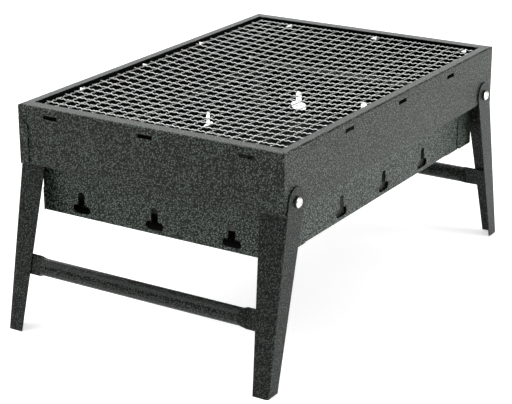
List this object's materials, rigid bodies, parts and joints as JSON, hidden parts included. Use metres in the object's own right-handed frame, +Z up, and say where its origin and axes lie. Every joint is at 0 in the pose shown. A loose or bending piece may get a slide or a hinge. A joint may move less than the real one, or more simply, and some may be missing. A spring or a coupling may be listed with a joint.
{
  "type": "folding camp grill",
  "caption": "Rectangular sheet-steel camp grill on folding L-section legs, with crossbars, vented firebox, coal tray and lift-off wire cooking mesh.",
  "frame": {"origin": "on the ground under the middle of the grill, at the bottom centre of its box", "axes": "+Z up, X along the grill from one leg frame to the other, Y across it"},
  "size_m": [0.4898, 0.305, 0.221],
  "materials": {
    "hammertone_paint": "dark green-grey hammertone heat paint",
    "zinc_plate": "bright zinc plate",
    "bright_wire": "bright galvanised wire",
    "blackened_steel": "blackened steel"
  },
  "bodies": {
    "rim": {"rim_end_near": "hammertone_paint", "rim_end_far": "hammertone_paint", "rim_side_right": "hammertone_paint", "rim_side_left": "hammertone_paint", "baffle_rod_near": "zinc_plate", "baffle_rod_far": "zinc_plate", "pivot_rivet_near_right": "zinc_plate", "pivot_washer_near_right": "blackened_steel", "pivot_rivet_near_left": "zinc_plate", "pivot_washer_near_left": "blackened_steel", "pivot_rivet_far_right": "zinc_plate", "pivot_washer_far_right": "blackened_steel", "pivot_rivet_far_left": "zinc_plate", "pivot_washer_far_left": "blackened_steel"},
    "leg_frame_near": {"leg_near_right": "hammertone_paint", "leg_near_left": "hammertone_paint", "crossbar_near": "hammertone_paint"},
    "baffle_near": {"end_baffle_near": "hammertone_paint"},
    "leg_frame_far": {"leg_far_right": "hammertone_paint", "leg_far_left": "hammertone_paint", "crossbar_far": "hammertone_paint"},
    "baffle_far": {"end_baffle_far": "hammertone_paint"},
    "firebox_wall_right": {"firebox_side_right": "hammertone_paint"},
    "firebox_wall_left": {"firebox_side_left": "hammertone_paint"},
    "tray": {"coal_tray": "hammertone_paint"},
    "mesh": {"cooking_mesh": "bright_wire"}
  },
  "joints": [
    {"name": "leg_fold_near", "type": "hinge", "parent": "rim", "child": "leg_frame_near", "pos_m": [-0.1955, 0, 0.172], "axis": [0, -1, 0], "range_deg": [0, 101.3]},
    {"name": "leg_fold_far", "type": "hinge", "parent": "rim", "child": "leg_frame_far", "pos_m": [0.1955, 0, 0.172], "axis": [0, 1, 0], "range_deg": [0, 101.3]},
    {"name": "baffle_tilt_near", "type": "hinge", "parent": "rim", "child": "baffle_near", "pos_m": [-0.2051, 0, 0.1671], "axis": [0, -1, 0], "range_deg": [0, 91.2]},
    {"name": "baffle_tilt_far", "type": "hinge", "parent": "rim", "child": "baffle_far", "pos_m": [0.2051, 0, 0.1671], "axis": [0, 1, 0], "range_deg": [0, 91.2]},
    {"name": "wall_rise_right", "type": "slide", "parent": "rim", "child": "firebox_wall_right", "axis": [0, 0, 1], "range_m": [0, 0.0501]},
    {"name": "wall_rise_left", "type": "slide", "parent": "rim", "child": "firebox_wall_left", "axis": [0, 0, 1], "range_m": [0, 0.0501]},
    {"name": "tray_rise", "type": "slide", "parent": "rim", "child": "tray", "axis": [0, 0, 1], "range_m": [0, 0.0761]},
    {"name": "mesh_lift", "type": "slide", "parent": "rim", "child": "mesh", "axis": [0, 0, 1], "range_m": [0, 0.06]}
  ],
  "couplings": [
    {"joint": "leg_fold_far", "follows": "leg_fold_near", "ratio": 1},
    {"joint": "baffle_tilt_near", "follows": "leg_fold_near", "ratio": 0.9},
    {"joint": "baffle_tilt_far", "follows": "leg_fold_near", "ratio": 0.9},
    {"joint": "wall_rise_right", "follows": "leg_fold_near", "m_per_rad": 0.02828},
    {"joint": "wall_rise_left", "follows": "leg_fold_near", "m_per_rad": 0.02828},
    {"joint": "tray_rise", "follows": "leg_fold_near", "m_per_rad": 0.043}
  ]
}
